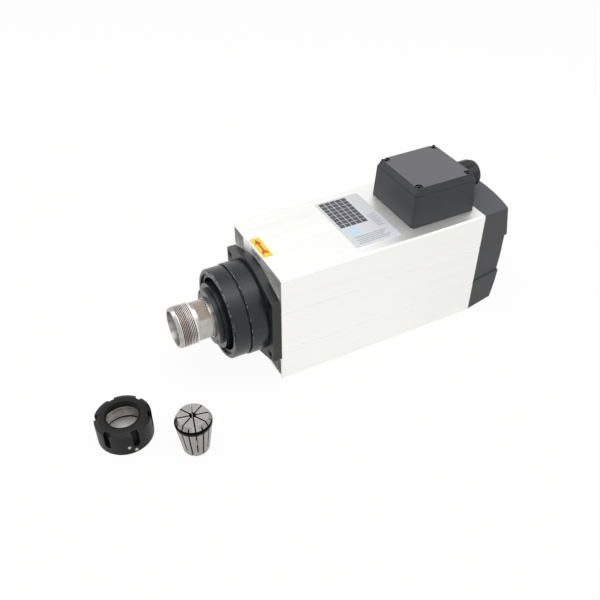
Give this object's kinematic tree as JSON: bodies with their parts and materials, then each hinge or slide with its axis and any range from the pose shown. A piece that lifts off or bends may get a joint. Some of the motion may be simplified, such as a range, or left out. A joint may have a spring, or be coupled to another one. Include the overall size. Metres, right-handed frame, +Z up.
{
  "type": "motor spindle",
  "caption": "Square air-cooled router spindle motor with flanged nose, threaded collet seat, top terminal box, rear fan cover, and its loose collet nut and collet.",
  "frame": {"origin": "middle of the housing's flat base face", "axes": "+Z up from the base, -Y out of the nose along the spindle axis, +X to the right when looking along +Y"},
  "size_m": [0.1569, 0.4433, 0.16],
  "materials": {
    "anodised_silver": "satin",
    "black_anodised": "satin",
    "black_oxide": "satin",
    "ground_steel": "satin",
    "bearing_steel": "polished",
    "spring_steel": "satin",
    "zinc_steel": "satin",
    "core_steel": "matte",
    "copper_wire": "satin",
    "cast_aluminium": "matte",
    "terminal_brass": "satin",
    "black_moulding": "matte",
    "fan_plastic": "matte",
    "gland_plastic": "satin",
    "block_plastic": "matte",
    "gasket_rubber": "matte"
  },
  "bodies": {
    "motor": {"housing_profile": "anodised_silver", "front_end_shield": "black_anodised", "flange_screws": "black_oxide", "nose_collar": "black_anodised", "retaining_ring": "black_anodised", "front_bearing_outer_rings": "bearing_steel", "outer_spacer": "bearing_steel", "stator_core": "core_steel", "stator_winding": "copper_wire", "rear_bearing_plate": "cast_aluminium", "rear_bearing_outer_ring": "bearing_steel", "preload_spring": "spring_steel", "rear_cover": "black_moulding", "rear_cover_screws": "black_oxide", "box_gasket": "gasket_rubber", "terminal_box": "black_moulding", "lid_gasket": "gasket_rubber", "box_screws": "zinc_steel", "terminal_lid": "black_moulding", "lid_screws": "black_oxide", "terminal_block": "block_plastic", "terminal_screws": "terminal_brass", "gland_body": "gland_plastic", "gland_locknut": "gland_plastic", "gland_nut": "gland_plastic", "gland_seal": "gasket_rubber"},
    "rotor": {"front_bearing_inner_rings": "bearing_steel", "inner_spacer": "bearing_steel", "bearing_lock_nut": "black_oxide", "spindle_shaft": "ground_steel", "rotor_core": "core_steel", "rotor_end_rings": "cast_aluminium", "rear_bearing_inner_ring": "bearing_steel", "bearing_circlip": "spring_steel", "cooling_fan": "fan_plastic", "fan_circlip": "spring_steel"},
    "front_cages": {"front_caged_balls": "bearing_steel"},
    "rear_cage": {"rear_caged_balls": "bearing_steel"},
    "clamping_nut": {"collet_nut": "black_oxide", "pressure_ring": "ground_steel"},
    "collet_body": {"collet": "ground_steel"}
  },
  "joints": [
    {"name": "rotor_spin", "type": "hinge", "parent": "motor", "child": "rotor", "pos_m": [0, 0, 0.06], "axis": [0, -1, 0], "continuous": true},
    {"name": "front_cage_spin", "type": "hinge", "parent": "motor", "child": "front_cages", "pos_m": [0, 0, 0.06], "axis": [0, -1, 0], "continuous": true},
    {"name": "rear_cage_spin", "type": "hinge", "parent": "motor", "child": "rear_cage", "pos_m": [0, 0, 0.06], "axis": [0, -1, 0], "continuous": true},
    {"name": "nut_lift", "type": "slide", "parent": "motor", "child": "clamping_nut", "axis": [0, 0, 1], "range_m": [0, 0.2]},
    {"name": "collet_lift", "type": "slide", "parent": "motor", "child": "collet_body", "axis": [0, 0, 1], "range_m": [0, 0.2]}
  ],
  "couplings": [
    {"joint": "front_cage_spin", "follows": "rotor_spin", "ratio": 0.4176},
    {"joint": "rear_cage_spin", "follows": "rotor_spin", "ratio": 0.4111}
  ]
}
